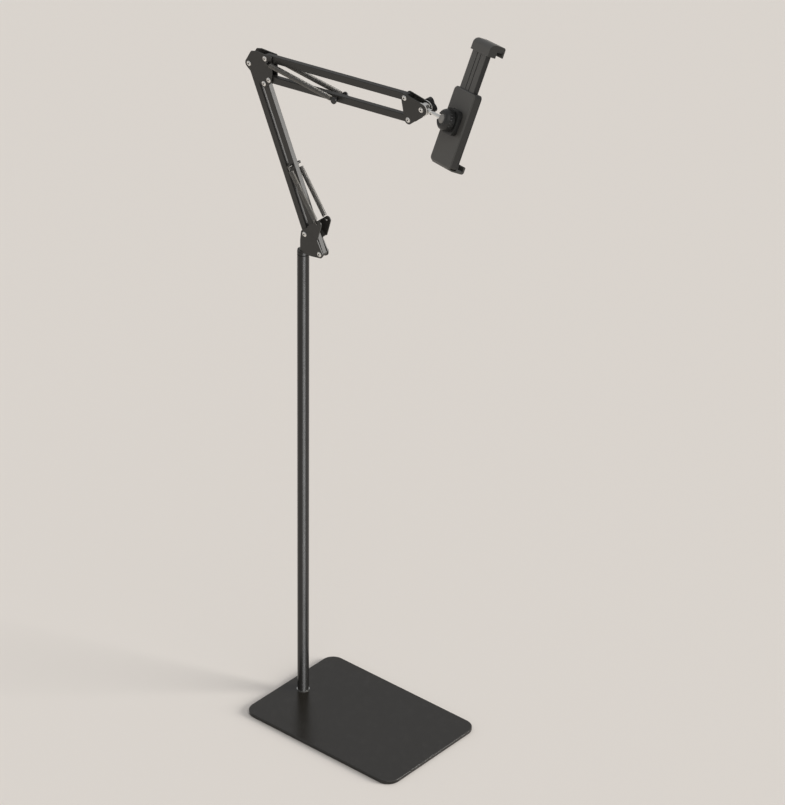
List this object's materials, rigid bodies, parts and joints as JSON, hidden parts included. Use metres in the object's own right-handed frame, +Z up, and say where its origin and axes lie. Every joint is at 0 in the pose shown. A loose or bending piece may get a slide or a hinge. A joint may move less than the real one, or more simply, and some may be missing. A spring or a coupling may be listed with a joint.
{
  "type": "gooseneck stand",
  "caption": "Floor stand with a flat base, a straight pole and a spring balanced folding arm that carries a sliding tablet clamp on a ball joint",
  "frame": {"origin": "pole's axis at floor level, under the rubber mat", "axes": "+X the way the arm reaches, along the base's long side; +Y away from the side with the screw heads; +Z up"},
  "size_m": [0.4001, 0.202, 1.1504],
  "materials": {
    "dark_paint": "fine satin powder coat",
    "arm_paint": "satin powder coat",
    "black_steel": "black oxide",
    "nickel": "bright nickel plate",
    "bright_steel": "zinc plate",
    "spring_steel": "drawn wire",
    "nylon": "natural nylon",
    "black_plastic": "moulded, fine grain",
    "clamp_plastic": "moulded, satin",
    "black_rubber": "smooth foam rubber",
    "pad_rubber": "soft silicone"
  },
  "bodies": {
    "stand": {"base_mat": "black_rubber", "base_plate": "dark_paint", "pole_screw": "bright_steel", "foot_ring": "nickel", "foot_plug": "bright_steel", "pole_tube": "dark_paint", "top_bush": "black_plastic"},
    "shoulder": {"swivel_collar": "dark_paint", "swivel_pin": "bright_steel", "shoulder_bracket": "arm_paint", "shoulder_bolts": "nickel", "shoulder_nuts": "bright_steel", "shoulder_washers": "nylon"},
    "lower_rear": {"lower_rear_bar": "arm_paint"},
    "lower_front": {"lower_front_bar": "arm_paint", "lower_spring_pin": "black_steel", "lower_right_spring": "spring_steel", "lower_left_spring": "spring_steel"},
    "elbow": {"right_elbow_plate": "arm_paint", "left_elbow_plate": "arm_paint", "elbow_bolts": "nickel", "elbow_nuts": "bright_steel", "elbow_washers": "nylon", "elbow_spring_studs": "black_steel"},
    "upper_top": {"upper_top_bar": "arm_paint"},
    "upper_bottom": {"upper_bottom_bar": "arm_paint", "upper_spring_pin": "black_steel", "upper_pin_caps": "black_plastic", "upper_right_spring": "spring_steel", "upper_left_spring": "spring_steel"},
    "head": {"right_head_plate": "arm_paint", "left_head_plate": "arm_paint", "head_bolts": "nickel", "head_nuts": "bright_steel", "head_washers": "nylon", "tilt_bolt": "nickel", "tilt_washers": "nylon"},
    "knob": {"thumb_knob": "black_plastic"},
    "stem": {"tilt_tongue": "nickel", "ball_stud": "nickel"},
    "liner": {"ball_liner": "nylon"},
    "clamp": {"socket_nut": "black_plastic", "socket_base": "black_plastic", "clamp_body": "clamp_plastic", "clamp_cover": "black_plastic", "cover_pad": "pad_rubber", "clamp_screws": "bright_steel", "lower_jaw": "clamp_plastic", "lower_jaw_pad": "pad_rubber", "clamp_springs": "spring_steel", "spring_anchor_pins": "bright_steel"},
    "slider": {"clamp_slider": "clamp_plastic", "upper_jaw": "clamp_plastic", "upper_jaw_pad": "pad_rubber"}
  },
  "joints": [
    {"name": "arm_swivel", "type": "hinge", "parent": "stand", "child": "shoulder", "pos_m": [0, 0, 0.756], "axis": [0, 0, 1], "continuous": true},
    {"name": "lower_arm", "type": "hinge", "parent": "shoulder", "child": "lower_front", "pos_m": [0.0364, 0, 0.7694], "axis": [0, -1, 0], "range_deg": [-69, 8], "deforming": ["lower_right_spring", "lower_left_spring"]},
    {"name": "lower_rear_link", "type": "hinge", "parent": "shoulder", "child": "lower_rear", "pos_m": [0.0083, 0, 0.7918], "axis": [0, -1, 0], "range_deg": [-69, 8]},
    {"name": "elbow_level", "type": "hinge", "parent": "lower_front", "child": "elbow", "pos_m": [-0.06772, 0, 1.00327], "axis": [0, -1, 0], "range_deg": [-8, 69]},
    {"name": "upper_arm", "type": "hinge", "parent": "elbow", "child": "upper_bottom", "pos_m": [-0.05872, 0, 1.01147], "axis": [0, -1, 0], "range_deg": [-30, 50], "deforming": ["upper_right_spring", "upper_left_spring"]},
    {"name": "upper_top_link", "type": "hinge", "parent": "elbow", "child": "upper_top", "pos_m": [-0.06592, 0, 1.04217], "axis": [0, -1, 0], "range_deg": [-30, 50]},
    {"name": "head_level", "type": "hinge", "parent": "upper_bottom", "child": "head", "pos_m": [0.1963, 0, 1.03378], "axis": [0, -1, 0], "range_deg": [-50, 30]},
    {"name": "head_tilt", "type": "hinge", "parent": "head", "child": "stem", "pos_m": [0.2189, 0, 1.05608], "axis": [0, -1, 0], "range_deg": [-25, 60]},
    {"name": "knob_turn", "type": "hinge", "parent": "head", "child": "knob", "pos_m": [0.2189, 0.012, 1.05608], "axis": [0, 1, 0], "range_deg": [-90, 90]},
    {"name": "ball_spin", "type": "hinge", "parent": "stem", "child": "liner", "pos_m": [0.255, 0, 1.05139], "axis": [0.9917, 0, -0.1288], "continuous": true},
    {"name": "ball_fold", "type": "hinge", "parent": "liner", "child": "clamp", "pos_m": [0.255, 0, 1.05139], "axis": [-0.1171, -0.4158, -0.9019], "range_deg": [-18, 80]},
    {"name": "clamp_slide", "type": "slide", "parent": "clamp", "child": "slider", "axis": [0.0254, 0.4573, 0.8889], "range_m": [-0.047, 0.02], "deforming": ["clamp_springs"]}
  ],
  "couplings": [
    {"joint": "lower_rear_link", "follows": "lower_arm", "ratio": 1},
    {"joint": "elbow_level", "follows": "lower_arm", "ratio": -1},
    {"joint": "upper_top_link", "follows": "upper_arm", "ratio": 1},
    {"joint": "head_level", "follows": "upper_arm", "ratio": -1}
  ]
}
